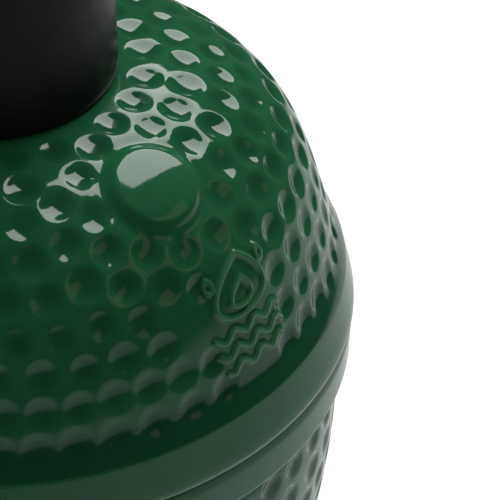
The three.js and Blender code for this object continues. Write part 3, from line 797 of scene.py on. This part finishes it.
def base_shell():
    azimuths = columns()
    fine = 1.5 * MM
    belt_r = 0.99 * BELT_R
    rim = rounded([
        (RIM_IN_R, RIM_Z), (belt_r - 2.5 * MM, RIM_Z), (belt_r - 2.4 * MM, RIM_Z + BASE_LIP),
        (belt_r - 1.1 * MM, RIM_Z + BASE_LIP), (belt_r, RIM_Z - 2.0 * MM),
        (0.982 * BELT_R, BELT_FOOT_Z + 0.8 * MM), (0.977 * BELT_R, BELT_FOOT_Z - 0.8 * MM),
        (0.962 * BELT_R, BELT_FOOT_Z - 1.9 * MM)], 1.5 * MM)
    outside = resampled(rim, 2.0 * MM)
    lengths = np.arange(2.5 * MM, bowl.length, fine)
    foot = rounded(mm((100, 6), (98.5, 0), (84, 0), (82, 2.5), (0.5, 2.5)), 1.2 * MM)
    inner_s = np.linspace(bowl.length - 12 * MM, 0, 30)
    at, way = bowl.at(inner_s), bowl.direction(inner_s)
    inside = np.stack([at[:, 0] + way[:, 1] * BASE_WALL, at[:, 1] - way[:, 0] * BASE_WALL], -1)
    inside = inside[inside[:, 1] > 24 * MM]
    skin = bowl.at(lengths)
    start, end = len(outside), len(outside) + len(skin)
    rows, out = shell_rows([*outside, *skin, *foot], azimuths)
    floor = [(0.5 * MM, 20 * MM), (inside[0][0] - 9 * MM, 20 * MM), (inside[0][0] - 2 * MM, 22 * MM)]
    inner_rows = outline_rows([*floor, *inside, (RIM_IN_R, RIM_Z - 16 * MM)], azimuths)

    here = rows[start:end]
    keep_out = [(np.array([x, -132, z]) * MM, 27 * MM + DIMPLE_R) for x in (-36, 0, 36) for z in (46, 74)]
    layout = dimple_layout(bowl, 13 * MM, bowl.length - 16 * MM, keep_out, seed=11)
    sunk = dimple_depth(here, layout)
    moat = 1.2 * MM * np.exp(-((lengths - 3.2 * MM) / (2.6 * MM)) ** 2)[:, None]
    rows[start:end] = draft_pad(here + out[start:end] * (sunk + moat)[..., None])

    # Painted shade: the dimples get the darker glaze colour.
    hollow = np.clip(sunk / DIMPLE_DEPTH, 0, 1)
    piece = glazed_object("base_glazed", np.concatenate([rows, inner_rows]), start, hollow, 0,
                          end + len(foot) - 1, order=-1)
    opening = block("opening", (-33 * MM, DRAFT_FACE_Y - 5 * MM, 41 * MM), (33 * MM, -70 * MM, 75 * MM))
    cut_out(piece, opening)
    piece.data.set_sharp_from_angle(angle=radians(60))
    stand_for(piece, "base_shell")


def draft_pad(points):
    """Pushes the front of the bowl out to the flat pad that carries the draft frame."""
    x, y, z = np.moveaxis(points, -1, 0)
    wide = smooth_step((55 * MM - np.abs(x)) / (5 * MM))
    tall = smooth_step((93 * MM - z) / (5 * MM)) * smooth_step((z - 23 * MM) / (5 * MM))
    share = np.where(y < 0, wide * tall, 0)
    stretch = np.minimum(y, DRAFT_FACE_Y) / np.where(y < 0, y, -1)
    return np.stack([x, y * (1 + share * (stretch - 1)), z], -1)


lid_shell()
base_shell()

# ---- rain cover, gaskets and chimney vent

cap_low, cap_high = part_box("rain_cover")
COVER_WALL = 2.6 * MM


def rain_cover():
    """A moulded silicone cap: a soft shoulder, straight sides and a plain rolled lip."""
    low, top = cap_low.z, cap_high.z
    outside = [
        *lifted(mm((0, 0), (46, -0.2), (56, -2.6), (60.6, -7.5), (61.5, -15)), top),
        (CAP_R + 0.2 * MM, low + 4 * MM), (CAP_R - 0.5 * MM, low + 1 * MM), (CAP_R - 1.6 * MM, low)]
    inside = [
        (CAP_R - COVER_WALL, low + 0.8 * MM), (61.5 * MM - COVER_WALL, top - 14 * MM),
        *lifted(mm((58, -9), (54.5, -4.8), (47.5, -2.9)), top), (0, top - COVER_WALL)]
    stand_for(turned("cover_fine", outside + inside, radius=3 * MM, steps=192), "rain_cover")


def gasket(node):
    low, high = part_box(node)
    inner = RIM_IN_R + 1 * MM if node != "neck_gasket" else 39.5 * MM
    outline = [(inner, low.z), (high.x, low.z), (high.x, high.z), (inner, high.z)]
    stand_for(turned(node + "_fine", outline, closed=True, radius=0.8 * MM, steps=240), node)


def petals(z0, z1):
    """The five openings of the vent, with rounded corners."""
    def at(radius, degrees):
        a = radians(degrees)
        return radius * MM * cos(a), radius * MM * sin(a)

    outline = [*(at(35, d) for d in np.linspace(-13.8, 13.8, 17)), at(33.6, 15), at(15, 14.2),
               *(at(13.6, d) for d in np.linspace(10, -10, 17)), at(15, -14.2), at(33.6, -15)]
    return [moved(prism("petal", outline, z0, z1), spun(72 * i)) for i in range(5)]


def prism(name, outline, z0, z1):
    count = len(outline)
    vertices = [(x, y, z) for z in (z0, z1) for x, y in outline]
    faces = [tuple(range(count))[::-1], tuple(range(count, 2 * count))]
    faces += [(k, (k + 1) % count, (k + 1) % count + count, k + count) for k in range(count)]
    return mesh_object(name, vertices, faces)


def hexagon(reach):
    return [(reach * cos(pi * k / 3), reach * sin(pi * k / 3)) for k in range(6)]


def rod(name, radius, z0, z1, steps=48, edge=0.0004):
    return turned(name, [(0, z0), (radius, z0), (radius, z1), (0, z1)], radius=edge, steps=steps)


VENT_TOP = NECK_Z + 2.6 * MM
WHEEL_Z = VENT_TOP + 4.3 * MM
HOOD_Z = WHEEL_Z + 19 * MM
BOLT_BORE = 2.9 * MM


def vent():
    def bore(z):
        return rod("bore", BOLT_BORE, z - 5 * MM, z + 20 * MM)

    body = turned("vent_fine", lifted(mm(
        (0, 0), (50.8, 0), (50.8, -16), (54, -16), (54, 3), (53, 4), (0, 4)), VENT_TOP), radius=0.9 * MM)
    cut_out(body, *petals(VENT_TOP - 5 * MM, VENT_TOP + 9 * MM), bore(VENT_TOP))
    stand_for(sharpened(body), "vent_base")

    wheel = rod("wheel_fine", 43 * MM, WHEEL_Z, WHEEL_Z + 3 * MM, steps=144, edge=0.7 * MM)
    cut_out(wheel, *petals(WHEEL_Z - 5 * MM, WHEEL_Z + 9 * MM), bore(WHEEL_Z))
    tab = block("tab", (37.4 * MM, -2.8 * MM, WHEEL_Z + 1 * MM), (42.6 * MM, 2.8 * MM, WHEEL_Z + 12.8 * MM))
    joined(wheel, moved(tab, spun(-54)))
    stand_for(sharpened(wheel), "daisy_wheel")

    hood = turned("hood_fine", lifted(mm(
        (0, 5), (30, 4), (48, 0), (54, -4), (54, -1.5), (50, 3), (32, 8.5), (0, 10)), HOOD_Z),
        radius=4 * MM)
    posts = [moved(
        rod("post", 3 * MM, VENT_TOP + 4.3 * MM, HOOD_Z + 2 * MM),
        spun(120 * i) @ Matrix.Translation((0, -49 * MM, 0))) for i in range(3)]
    joined(hood, *posts)
    cut_out(hood, bore(HOOD_Z))
    stand_for(sharpened(hood), "vent_hood")

    head, tip = VENT_TOP - 0.3 * MM, HOOD_Z + 16 * MM
    stand_for(turned("vent_bolt_fine", [
        *lifted(mm((0, -3), (5, -3), (5, 0), (2.4, 0)), head), (2.4 * MM, tip), (0, tip)],
        radius=0.4 * MM), "vent_bolt")
    z = HOOD_Z + 10.3 * MM
    knob = turned("vent_knob_fine", lifted(mm(
        (2.8, 0), (9, 0), (10, 3), (9, 8), (6, 12), (0, 13), (0, 7), (2.8, 7)), z),
        closed=True, radius=1.2 * MM)
    grips = [moved(rod("grip", 1.3 * MM, z + 1 * MM, z + 20 * MM, 16),
                   spun(30 * i) @ Matrix.Translation((10.4 * MM, 0, 0)))
             for i in range(12)]
    cut_out(knob, *grips)
    stand_for(sharpened(knob), "vent_knob")


rain_cover()
for gasket_node in ("base_gasket", "lid_gasket", "neck_gasket"):
    gasket(gasket_node)
vent()

# ---- fasteners


def bolt_spot(node):
    """Azimuth, seat radius and height of a bolt or nut through the ceramic."""
    lid_side = "base" not in node
    side = -1 if node.endswith("left") else 1
    if node.startswith("handle"):
        azimuth = side * 23.5
    else:
        azimuth = 180 + side * (8 if lid_side else 11)
    return azimuth, (173.7 if lid_side else 172) * MM, (256 if lid_side else 226) * MM


def bolt(node):
    """A carriage bolt: a smooth low dome with a small flat rim."""
    azimuth, seat, z = bolt_spot(node)
    reach = seat - RIM_IN_R + 8 * MM
    head = mm(*((5.4 * cos(a), 0.7 + 2.6 * sin(a)) for a in np.linspace(0, pi / 2, 12)[:-1]))
    shank = lifted(mm((0, 0), (2.0, 0), (2.4, 0.5)), -reach)
    profile = [*shank, *mm((2.4, 0), (5.4, 0)), *head, (0, 3.3 * MM)]
    stand_for(moved(turned(node + "_fine", profile, steps=48), aimed_out(azimuth, seat, z)), node)


def hex_nut(node, place, bore, reach, low, high):
    """A hexagon nut with its corners turned off."""
    nut = prism(node + "_fine", hexagon(reach), low, high)
    rim = turned("rim", [
        (0, low), (0.86 * reach, low), (reach, low + 0.1 * reach), (reach, high - 0.1 * reach),
        (0.86 * reach, high), (0, high)], steps=72)
    combined(nut, "INTERSECT", [rim])
    cut_out(nut, rod("bore", bore, low - 1 * MM, high + 1 * MM))
    stand_for(moved(sharpened(nut), place), node)


def screw(node, place, profile, recess, top):
    """A turned screw with a hexagon socket in its head. Sizes are in millimetres."""
    body = turned(node + "_fine", mm(*profile), radius=0.35 * MM, steps=48)
    cut_out(body, prism("socket", hexagon(recess * MM), top * MM - 1.3 * MM, top * MM + 1 * MM))
    stand_for(moved(sharpened(body), place), node)


for node in [name for name in nodes if "_bolt_" in name]:
    bolt(node)
for node in [name for name in nodes if "_nut_" in name]:
    azimuth, _, z = bolt_spot(node)
    hex_nut(node, aimed_out(azimuth, RIM_IN_R - 5.8 * MM, z), 3.15 * MM, 5.6 * MM, 0, 4 * MM)

# ---- draft door

for level, word in ((-1, "lower"), (1, "upper")):
    for side, hand in ((-1, "left"), (1, "right")):
        place = Matrix.Translation((side * 41 * MM, DRAFT_FACE_Y - 1.9 * MM, DRAFT_Z + level * 24 * MM))
        screw(f"draft_screw_{word}_{hand}", place @ LAID,
              ((0, -14), (1.6, -14), (1.6, 0), (3.2, 0), (2.6, 1.6), (0, 2)), 1.1, 2)

refined("draft_frame", 0.3 * MM)


def draft_panels():
    low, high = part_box("draft_screen")
    y1 = high.y
    sheet = block("screen_fine", (-38 * MM, y1 - 1 * MM, low.z), (38 * MM, y1, high.z))
    tab = block("tab", (low.x, low.y, DRAFT_Z - 10 * MM), (low.x + 1.2 * MM, y1, DRAFT_Z + 10 * MM))
    root = block("root", (low.x, y1 - 1 * MM, DRAFT_Z - 10 * MM), (-37 * MM, y1, DRAFT_Z + 10 * MM))
    joined(sheet, tab, root)
    cut_out(sheet, *(
        moved(rod("drill", 2.4 * MM, -3 * MM, 3 * MM, 24), Matrix.Translation((
            (column - 3.5) * 8 * MM, y1 - 0.5 * MM, DRAFT_Z + (row - 1.5) * 6.8 * MM)) @ LAID)
        for column in range(8) for row in range(4)))
    stand_for(sharpened(sheet), "draft_screen")
    refined("draft_door", 0.25 * MM)
    door_low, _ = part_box("draft_door")
    knob = turned("draft_knob_fine", mm(
        (0, -1.4), (1.5, -1.4), (1.5, 0), (5, 0), (4, 3), (4.2, 6), (6.5, 9), (6, 12), (0, 13)),
        radius=1.0 * MM, steps=96)
    place = Matrix.Translation((-26 * MM, door_low.y - 0.3 * MM, DRAFT_Z)) @ LAID
    stand_for(moved(knob, place), "draft_knob")


draft_panels()

# ---- cookware inside


def cookware():
    box_wall = turned("fire_box_fine", mm(
        (64, 20.3), (78, 20.3), (110, 96), (124, 140), (110, 140), (97, 100), (84, 72), (84, 66), (62, 66),
        (62, 58)), closed=True, radius=2.5 * MM)
    notch = block("notch", (-33 * MM, -130 * MM, 18 * MM), (33 * MM, -50 * MM, 52 * MM))
    cut_out(box_wall, notch, *(
        moved(rod("vent", 6 * MM, -60 * MM, 60 * MM), aimed_out(30 + 60 * i, 100 * MM, 88 * MM))
        for i in range(6)))
    stand_for(sharpened(box_wall), "fire_box")

    grate = rod("grate_fine", 80 * MM, 66.3 * MM, 72 * MM, 144, 1 * MM)
    slots = []
    for i in range(-4, 5):
        reach = sqrt(70 ** 2 - (14 * i) ** 2)
        for near, far in ((-reach, -5), (5, reach)):
            outline = [((14 * i + 4 * cos(a)) * MM, (centre + 4 * sin(a)) * MM)
                       for centre, turn in ((far - 4, 0), (near + 4, pi))
                       for a in turn + np.linspace(0, pi, 11)]
            slots.append(prism("slot", outline, 60 * MM, 80 * MM))
    cut_out(grate, *slots)
    stand_for(sharpened(grate), "charcoal_grate")

    stand_for(turned("fire_ring_fine", mm((108, 140.3), (128, 140.3), (128, 182), (108, 182)),
                     closed=True, radius=2.5 * MM), "fire_ring")

    z = 182.3
    plate = turned("deflector_fine", mm((0, z), (112, z), (112, z + 9), (0, z + 9)), radius=1.5 * MM)
    legs = []
    for i in range(3):
        turn = spun(60 + 120 * i)
        for low, high in (((-20, -135, z), (20, -90, z + 9)), ((-20, -135, z + 5), (20, -123, 228))):
            legs.append(moved(block("leg", [v * MM for v in low], [v * MM for v in high]), turn))
    joined(plate, *legs)
    softened(plate, 1.2 * MM)
    stand_for(sharpened(plate, 40), "heat_deflector")

    z = z + 9.3
    stand_for(turned("pan_fine", mm(
        (0, z), (80, z), (88, z + 6), (94, z + 28), (99, z + 28), (99, z + 29.2), (93, z + 29.2),
        (86.8, z + 6.8), (79.6, z + 1.2), (0, z + 1.2)), radius=3 * MM), "water_pan")

    z = 230.8
    grid = turned("grid_fine", mm(*(
        (130 + 2.5 * cos(a), z + 2.5 * sin(a)) for a in np.linspace(0, 2 * pi, 17)[:-1])),
        closed=True)
    rods = []
    for i in range(-8, 9):
        half = sqrt(130 ** 2 - (14 * i) ** 2)
        place = Matrix.Translation((14 * i * MM, 0, z * MM)) @ LAID
        rods.append(moved(rod("wire", 1.8 * MM, -half * MM, half * MM, 16), place))
    joined(grid, *rods)
    stand_for(sharpened(grid, 50), "cooking_grid")


cookware()

# ---- hinge and handle

PIN_Y, PIN_Z = 186 * MM, 240.4 * MM
HANDLE_X, HANDLE_Y, HANDLE_Z = 52 * MM, -207 * MM, 257 * MM

for node in ("hinge_base_bracket", "hinge_lid_bracket", "handle_bracket_left", "handle_bracket_right"):
    refined(node, 0.6 * MM)

rear = spun(180)
pin = turned("hinge_pin_fine", mm(
    (0, -24.5), (5, -24.5), (5, -22), (3, -22), (3, 23), (2.2, 23), (2.2, 24.6), (3, 24.6), (2.4, 26.5),
    (0, 26.5)), radius=0.5 * MM, steps=64)
stand_for(moved(pin, rear @ along_x(-PIN_Y, PIN_Z)), "hinge_pin")
clip = turned("hinge_clip_fine", mm((2.6, 23.2), (5.2, 23.2), (5.2, 24.4), (2.6, 24.4)), closed=True,
              radius=0.25 * MM, steps=64)
stand_for(moved(clip, rear @ along_x(-PIN_Y, PIN_Z)), "hinge_clip")


def handle():
    half = HANDLE_X - 1.8 * MM
    swell = [((12.6 - 1.6 * u * u) * MM, u * (half - 4 * MM)) for u in np.linspace(-1, 1, 25)]
    profile = [
        (0, -half), (9.4 * MM, -half), (10.4 * MM, 1.2 * MM - half), *swell, (10.4 * MM, half - 1.2 * MM),
        (9.4 * MM, half), (0, half)]
    bar = turned("handle_fine", rounded(profile, 0.8 * MM), steps=96)
    ends = (-half - 2 * MM, half - 20 * MM)
    cut_out(bar, *(rod("bore", 2.3 * MM, start, start + 22 * MM) for start in ends))
    stand_for(moved(sharpened(bar), along_x(HANDLE_Y, HANDLE_Z)), "handle_bar")
    seat = 53.8
    for side, word in ((-1, "left"), (1, "right")):
        place = Matrix.Translation((0, HANDLE_Y, HANDLE_Z)) @ Matrix.Rotation(side * pi / 2, 4, "Y")
        screw(f"handle_screw_{word}", place, (
            (0, seat - 18), (1.9, seat - 18), (1.9, seat), (6, seat), (5.4, seat + 2), (0, seat + 3)),
            2.0, seat + 3)


handle()

# ---- thermometer


def gauge_matrix():
    """The gauge's place on the dome, found by steps along the curve just as the CAD part does it."""
    index = next(k for k in range(0, 2001, 2) if dome.points[k, 1] >= RIDGE_Z + GAUGE_HEIGHT)
    at, way = dome.points[index], dome.way[index]
    side, out = Vector((1, 0, 0)), Vector((0, -way[1], -way[0]))
    place = Matrix((side, out.cross(side), out)).transposed().to_4x4()
    place.translation = (0, -at[0], at[1])
    return place


def label(text, size, place):
    words = bpy.data.curves.new("label", "FONT")
    words.body = text
    words.size = size
    words.align_x = words.align_y = "CENTER"
    words.extrude = 0.00004
    piece = new_object("label", words)
    shaped = bpy.data.meshes.new_from_object(piece.evaluated_get(bpy.context.evaluated_depsgraph_get()))
    bpy.data.objects.remove(piece)
    marking(moved(new_object(f"dial_number_{text}", shaped), place))


def marking(piece):
    piece.data.materials.clear()
    piece.data.materials.append(dial_ink)
    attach(piece, "lid")


def thermometer():
    place = gauge_matrix()
    back = 2.4
    stand_for(moved(turned("gauge_case_fine", mm(
        (0, back), (19, back), (22, back + 1.5), (24, back + 4), (24, back + 10.2), (23.4, back + 11),
        (21.6, back + 11), (21.2, back + 10.4), (22.3, back + 9.6), (22.3, back + 2), (0, back + 2)),
        radius=0.5 * MM), place), "thermometer_case")
    dial = rod("gauge_dial_fine", 22 * MM, (back + 2.3) * MM, (back + 3.2) * MM, 96, 0.1 * MM)
    stand_for(moved(dial, place), "thermometer_dial")
    glass = rod("gauge_glass_fine", 21.9 * MM, (back + 7.6) * MM, (back + 9.2) * MM, 96, 0.4 * MM)
    stand_for(moved(glass, place), "thermometer_glass")
    top = back - 0.3
    stand_for(moved(turned("gauge_stem_fine", mm(
        (0, -62), (1.6, -60), (2.2, -56), (2.2, -26), (4.4, -25), (4.4, top), (0, top)),
        radius=0.5 * MM, steps=48), place), "thermometer_stem")
    hex_nut("thermometer_nut", place, 5.3 * MM, 9 * MM, -20.6 * MM, -14.9 * MM)
    refined("thermometer_needle", 0.08 * MM)
    face, ink = (back + 3.22) * MM, 0.05 * MM
    marks = []
    for k in range(53):
        inner, half = (16.6, 0.28) if k % 4 == 0 else (18.2, 0.14)
        mark = prism("mark", mm((inner, -half), (20, -half), (20, half), (inner, half)), face, face + ink)
        marks.append(moved(mark, place @ spun(220 - 260 * k / 52)))
    ring = turned("ring", lifted(mm((20.3, 0), (20.7, 0), (20.7, 0.05), (20.3, 0.05)), face), closed=True)
    marks.append(moved(ring, place))
    with bpy.context.temp_override(active_object=marks[0], selected_editable_objects=marks):
        bpy.ops.object.join()
    marks[0].name = "dial_marks"
    marking(marks[0])
    for k in range(0, 14, 2):
        a = radians(220 - 20 * k)
        spot = Matrix.Translation((13.6 * MM * cos(a), 13.6 * MM * sin(a), face + 0.04 * MM))
        label(str(k * 25 + 50), 3.0 * MM, place @ spot)


thermometer()

# ---- studio

SUBJECT = Vector((0, 0, RIDGE_Z + 60 * MM))
FLOOR_CENTRE = compass(120) * 0.45
FLOOR_FULL = 0.75       # the glaze mirrors the whole floor out to here
FLOOR_END = 1.45        # and nothing of it from here on
FLOOR_GLOW = 0.16


def area_light(name, azimuth, rise, distance, size, power, color=(1, 1, 1), shift=(0, 0), glossy=True):
    """A rectangular soft light that faces the object, shifted sideways and upwards in its own plane."""
    out = compass(azimuth, rise)
    side = compass(azimuth + 90)
    up = out.cross(side)
    data = bpy.data.lights.new(name, "AREA")
    data.shape = "RECTANGLE"
    data.size, data.size_y = size[0] * distance, size[1] * distance
    data.energy = power
    data.color = color
    light = new_object(name, data)
    place = Matrix((side, up, out)).transposed().to_4x4()
    place.translation = SUBJECT + (out + side * shift[0] + up * shift[1]) * distance
    light.matrix_world = place
    light.visible_glossy = glossy


def studio():
    area_light("key", 179, 55, 1.6, (0.70, 0.69), 28, shift=(0.035, 0.015))
    area_light("key_spill", 179, 55, 1.6, (1.0, 1.0), 12, glossy=False)
    area_light("warm_card", 97, 31, 1.6, (0.75, 0.34), 1.1, color=(1.0, 0.72, 0.5))
    area_light("fill", 330, 55, 2.2, (1.1, 1.1), 7, glossy=False)
    area_light("top", 39, 88, 2.2, (1.2, 1.2), 9, glossy=False)

    floor = turned("floor", [(0, -0.01), (8, -0.01), (8, 0), (0, 0)], steps=192)
    paint = Nodes("floor_paint")
    paint.set(Base_Color=(0.93, 0.93, 0.93, 1), Roughness=0.9, Specular_IOR_Level=0.0)
    paint.set(Emission_Color=(1, 1, 1, 1))
    paint.link(paint.spread(Vector(), 0.9, 3.0, FLOOR_GLOW, 0.85), paint.shader.inputs["Emission Strength"])
    floor.data.materials.append(paint.material)
    floor.visible_glossy = floor.visible_shadow = False

    # The glaze mirrors this second floor instead. It fades out, as the floor of a small studio does.
    mirrored = turned("floor_mirrored", [
        (0, -0.022), (FLOOR_END, -0.022), (FLOOR_END, -0.012), (0, -0.012)], steps=192)
    moved(mirrored, Matrix.Translation(FLOOR_CENTRE))
    fading = Nodes("floor_fading")
    fading.set(Roughness=0.9, Specular_IOR_Level=0.0, Emission_Strength=0.17)
    share = fading.spread(FLOOR_CENTRE, FLOOR_FULL, FLOOR_END, 1.0, 0.0)
    tone = fading.mix(share, (0.0, 0.0, 0.0), (0.80, 0.80, 0.80))
    fading.color(tone)
    fading.link(tone, fading.shader.inputs["Emission Color"])
    mirrored.data.materials.append(fading.material)
    mirrored.visible_camera = mirrored.visible_diffuse = mirrored.visible_shadow = False

    # The world is white to look at, and dim as a light.
    world = bpy.data.worlds.new("world")
    world.use_nodes = True
    tree = world.node_tree
    dim, pale = tree.nodes["Background"], tree.nodes.new("ShaderNodeBackground")
    dim.inputs["Color"].default_value = (0.035, 0.035, 0.035, 1)
    pale.inputs["Color"].default_value = (1, 1, 1, 1)
    path = tree.nodes.new("ShaderNodeLightPath")
    choose = tree.nodes.new("ShaderNodeMixShader")
    tree.links.new(path.outputs["Is Camera Ray"], choose.inputs[0])
    tree.links.new(dim.outputs[0], choose.inputs[1])
    tree.links.new(pale.outputs[0], choose.inputs[2])
    tree.links.new(choose.outputs[0], tree.nodes["World Output"].inputs["Surface"])
    bpy.context.scene.world = world
    bpy.context.scene.view_settings.view_transform = "Standard"


studio()
